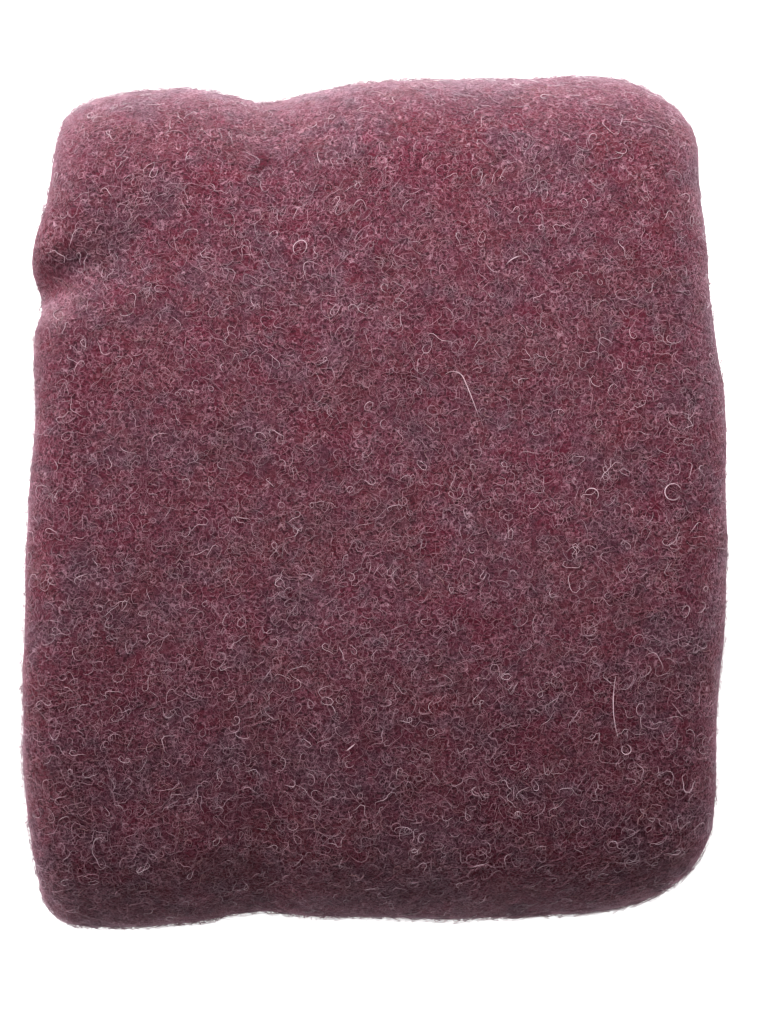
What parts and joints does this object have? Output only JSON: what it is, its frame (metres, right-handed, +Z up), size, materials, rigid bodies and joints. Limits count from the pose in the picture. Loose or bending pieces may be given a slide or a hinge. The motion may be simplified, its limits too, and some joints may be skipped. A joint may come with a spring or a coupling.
{
  "type": "roll of wool fleece",
  "caption": "Length of carded wool batt in heathered burgundy, wound flat into a soft oval roll that lies on its broad side with the loose end tucked under.",
  "frame": {"origin": "centre of the roll's bounding box on the surface it rests on", "axes": "+X along the roll's axis, +Y across it towards the straighter rolled side, +Z up from the surface"},
  "size_m": [0.223, 0.2744, 0.058],
  "materials": {
    "wool_fleece": "carded wool, heathered burgundy with mauve, blue-grey and pale pink fibres, matt and curly"
  },
  "bodies": {
    "root": {"fleece_roll": "wool_fleece"}
  },
  "joints": []
}
